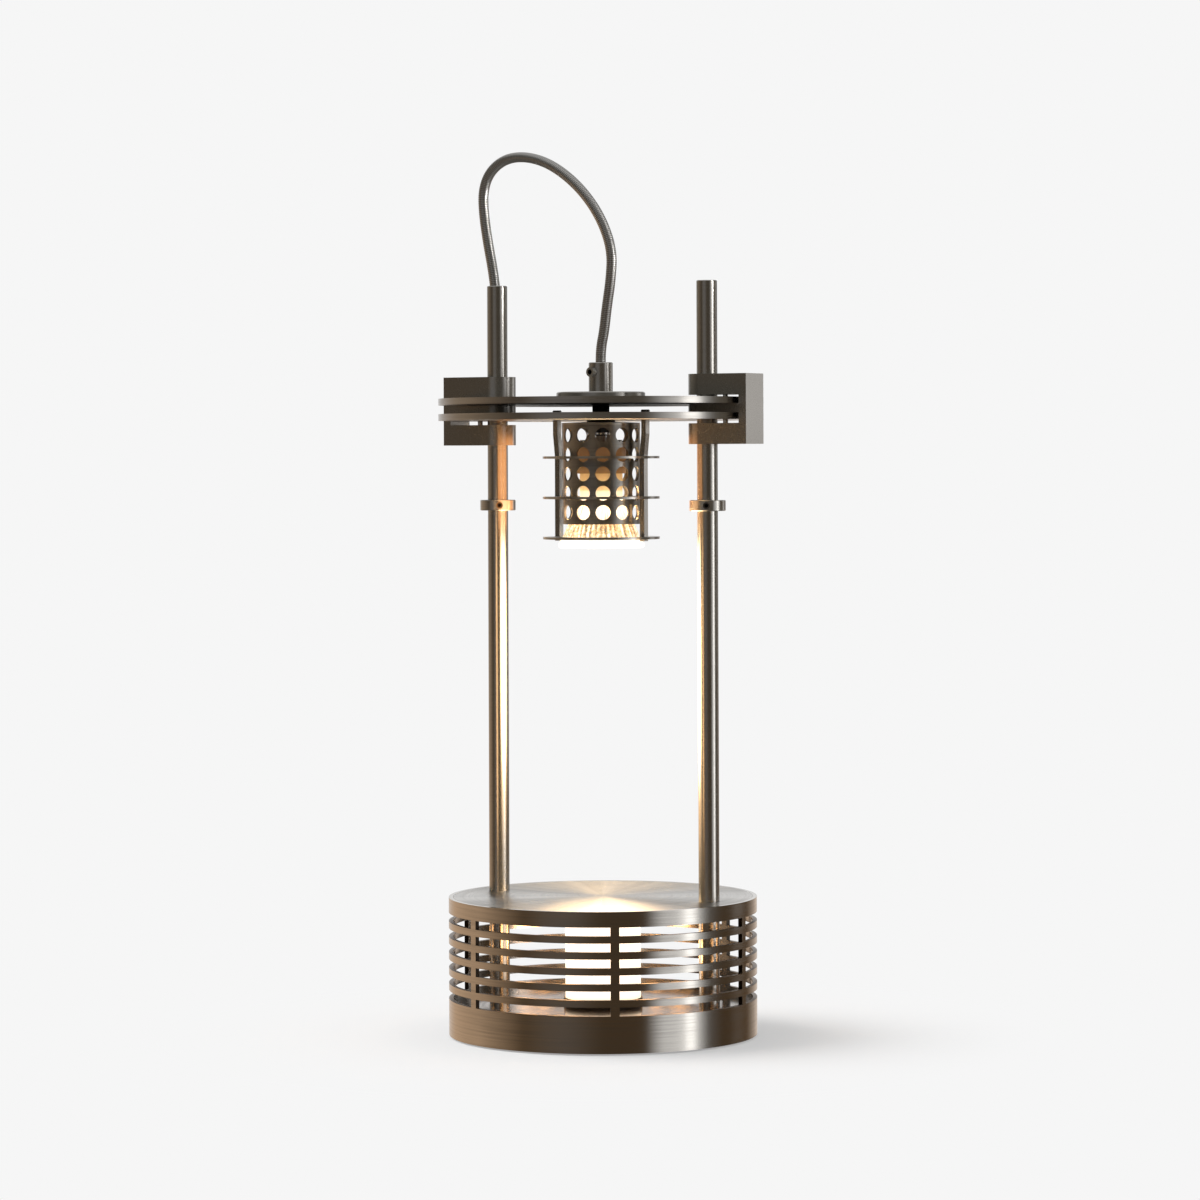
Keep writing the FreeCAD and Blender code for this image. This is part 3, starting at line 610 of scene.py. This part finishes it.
def floor_look():
    material = bpy.data.materials.new("floor")
    material.use_nodes = True
    tree = material.node_tree
    tree.nodes.clear()
    where = add(tree, "TexCoord").outputs["Object"]
    ray = add(tree, "LightPath")
    paper = add(tree, "BsdfDiffuse", {"Color": (BACKDROP,) * 3 + (1.0,)})
    plain = add(tree, "Emission", {"Color": (BACKDROP,) * 3 + (1.0,), "Strength": 1.0})
    far = ease(tree, vec(tree, "LENGTH", where), 0.09, 0.26, 0.38, 1.0)
    seen = add(tree, "MixShader", {0: far, 1: paper.outputs[0], 2: plain.outputs[0]})
    shown = calc(tree, "MAXIMUM", ray.outputs["Is Camera Ray"], ray.outputs["Is Transmission Ray"])
    both = add(tree, "MixShader", {0: shown, 1: paper.outputs[0], 2: seen.outputs[0]})
    clear = add(tree, "BsdfTransparent")
    every = add(tree, "MixShader", {0: ray.outputs["Is Glossy Ray"], 1: both.outputs[0], 2: clear.outputs[0]})
    tree.links.new(every.outputs[0], add(tree, "OutputMaterial").inputs[0])
    return material


floor_mesh = bpy.data.meshes.new("floor")
reach = 30.0
floor_mesh.from_pydata([(-reach, -reach, 0), (reach, -reach, 0), (reach, reach, 0), (-reach, reach, 0)], [],
                       [(0, 1, 2, 3)])
floor = make_object("floor", floor_mesh, floor_look(), smooth=False)


# Surroundings by direction: angles are turned from the camera's side towards its right, in degrees
def grey(level, warm=0.0):
    return (level, level * (1 - 0.35 * warm), level * (1 - 0.62 * warm))


def olive(level):
    return (level, level * 0.93, level * 0.76)


# Above the level: strips of light on a dull grey and olive ground
HIGH_ROUND = [(-180, grey(0.92)), (-168, grey(0.80)), (-150, grey(0.50)), (-125, olive(0.24)),
              (-95, olive(0.12)), (-66, olive(0.060)), (-57, olive(0.060)), (-50, olive(0.17)),
              (-44, grey(0.22)), (-20, grey(0.22)), (-8, olive(0.13)), (0, olive(0.085)), (34, olive(0.085)),
              (42, grey(0.26)), (54, grey(0.95)), (58, grey(1.2)), (61, grey(4.0)), (73, grey(4.0)),
              (76, grey(0.9)), (82, grey(0.32)), (90, olive(0.15)), (110, olive(0.15)), (116, grey(1.12)),
              (126, grey(1.12)), (131, grey(0.2)), (160, grey(0.3)), (172, grey(0.90)), (180, grey(0.92))]
# Below it: warm walls at the left and behind, a dark brown front, a white screen with a lamp at the right
LOW_ROUND = [(-180, grey(0.75, 0.2)), (-145, grey(0.75, 0.9)), (-105, grey(0.70, 0.9)),
             (-62, grey(0.15, 1.1)), (-30, grey(0.15, 0.8)), (0, grey(0.09, 1.2)), (32, grey(0.09, 1.2)),
             (45, grey(1.1)), (63, grey(1.15)), (65, grey(2.2)), (70, grey(2.2)), (75, grey(0.8)),
             (85, grey(0.15, 0.4)), (100, grey(0.09, 1.2)), (135, grey(0.12, 1.2)), (163, grey(0.75, 0.5)),
             (180, grey(0.75, 0.2))]


def studio():
    """Plain for the camera and for dull surfaces, and painted by direction for reflections."""
    world = bpy.data.worlds.new("studio")
    world.use_nodes = True
    tree = world.node_tree
    tree.nodes.clear()
    heading = vec(tree, "NORMALIZE", add(tree, "TexCoord").outputs["Generated"])
    level = axis(tree, heading, 2)
    turned = calc(tree, "ARCTAN2", vec(tree, "DOT_PRODUCT", heading, tuple(RIGHT)),
                  vec(tree, "DOT_PRODUCT", heading, tuple(TOWARDS)))
    share = add(tree, "MapRange", {0: turned, 1: -math.pi, 2: math.pi}).outputs[0]
    high, low = (ramp(tree, share, [((a + 180) / 360, tint(c, 1 / PAINT)) for a, c in stops])
                 for stops in (HIGH_ROUND, LOW_ROUND))
    painted = mix(tree, ease(tree, level, -0.020, -0.085), high, low)
    painted = mix(tree, ease(tree, level, 0.12, 0.28), painted, (0.20, 0.20, 0.20), "DARKEN")
    painted = mix(tree, ease(tree, level, 0.58, 0.85), painted, (0.17, 0.17, 0.17))
    painted = mix(tree, ease(tree, level, -0.26, -0.45), painted, (0.035, 0.032, 0.028))
    ray = add(tree, "LightPath")
    plain = add(tree, "Background", {0: (1.0, 1.0, 1.0, 1.0), 1: LEVEL})
    mirrored = add(tree, "Background", {0: painted, 1: PAINT})
    paper = add(tree, "Background", {0: (BACKDROP,) * 3 + (1.0,), 1: 1.0})
    lights = add(tree, "MixShader", {0: ray.outputs["Is Glossy Ray"], 1: plain.outputs[0],
                                     2: mirrored.outputs[0]})
    shown = calc(tree, "MAXIMUM", ray.outputs["Is Camera Ray"], ray.outputs["Is Transmission Ray"])
    every = add(tree, "MixShader", {0: shown, 1: lights.outputs[0], 2: paper.outputs[0]})
    tree.links.new(every.outputs[0], add(tree, "OutputWorld").inputs[0])
    return world


scene.world = studio()


def lamp(name, kind, place, energy, colour=(1.0, 1.0, 1.0), aim=None, **settings):
    data = bpy.data.lights.new(name, kind)
    data.energy = energy
    data.color = colour
    made = bpy.data.objects.new(name, data)
    scene.collection.objects.link(made)
    made.location = place
    if aim is not None:
        made.rotation_euler = (Vector(place) - Vector(aim)).to_track_quat("Z", "Y").to_euler()
    made.visible_camera = False
    for key, value in settings.items():
        setattr(made if key.startswith("visible") else data, key, value)
    return made


SUN_HEIGHT = math.radians(42)
SUN_SHARE = 1.0 - LEVEL
from_left = -RIGHT * math.cos(SUN_HEIGHT) - TOWARDS * 0.12 + UP * math.sin(SUN_HEIGHT)
lamp("key", "SUN", from_left, SUN_SHARE * math.pi / from_left.normalized().z, aim=(0, 0, 0),
     angle=math.radians(50), visible_glossy=False)

# The lamp's own light on the metal round it: heights and powers of the glow, and also radii of the halo
WARM = (1.0, 0.74, 0.42)
GOLD = (1.0, 0.60, 0.29)
ORANGE = (1.0, 0.42, 0.14)
COOL = (1.0, 0.98, 0.96)
GLOW_R = 0.056
GLOWS = ((0.132, 0.02), (0.185, 0.66), (0.222, 0.92), (0.258, 0.62))
HALOS = ((0.155, 0.13, 0.064), (0.235, 0.16, 0.064), (0.200, 0.13, 0.060), (0.248, 0.13, 0.060))
for i, (z, power) in enumerate(GLOWS):
    lamp(f"glow_{i}", "POINT", (0.0, 0.0, z), power, WARM, shadow_soft_size=GLOW_R, visible_diffuse=False)
for i, (z, power, radius) in enumerate(HALOS):
    lamp(f"halo_{i}", "POINT", (0.0, 0.0, z), power, GOLD, shadow_soft_size=radius, visible_diffuse=False)


def panel(name, place, aim, width, height, level, colour=GOLD, spread=180.0):
    """Flat light of an even level, seen in reflections alone. spread is the angle that its light fills."""
    return lamp(name, "AREA", place, level * math.pi * width * height, colour, aim=aim, shape="RECTANGLE",
                size=width, size_y=height, spread=math.radians(spread), visible_diffuse=False)


panel("warm_front", (-0.02, -0.22, 0.20), (-0.07, 0.0, 0.20), 0.07, 0.19, 0.14, spread=34.0)
for side, level in ((-1, 1.6), (1, 0.7)):
    place, beyond = (0.037 * side, -0.01, 0.322), (0.2 * side, -0.01, 0.322)
    panel(f"warm_side_{side + 1}", place, beyond, 0.09, 0.055, level, ORANGE)
beside = RIGHT * 0.42 + TOWARDS * 0.16
panel("cord_side", beside + UP * 0.485, UP * 0.485, 0.34, 0.06, 0.6, COOL, spread=12.0)
panel("cord_above", beside + UP * 0.86, RIGHT * -0.03 + UP * 0.49, 0.30, 0.20, 0.08, COOL, spread=40.0)
panel("warm_right", (-0.040, -0.19, 0.20), (0.0705, 0.0, 0.20), 0.06, 0.17, 0.11, spread=34.0)


def lamp_ring(name, radius, height, first_turn, power, colour, size, count=6):
    """Small lamps on a circle round the Z axis. first_turn is in degrees."""
    for i in range(count):
        turn = math.radians(360 // count * i + first_turn)
        place = (radius * math.cos(turn), radius * math.sin(turn), height)
        lamp(f"{name}_{i}", "POINT", place, power, colour, shadow_soft_size=size)


lamp_ring("cage_glow", 0.0185, 0.309, 20, 0.004, (1.0, 0.56, 0.22), 0.0015)
lamp_ring("base_glow", 0.045, 0.048, 35, 0.022, (1.0, 0.52, 0.20), 0.006)
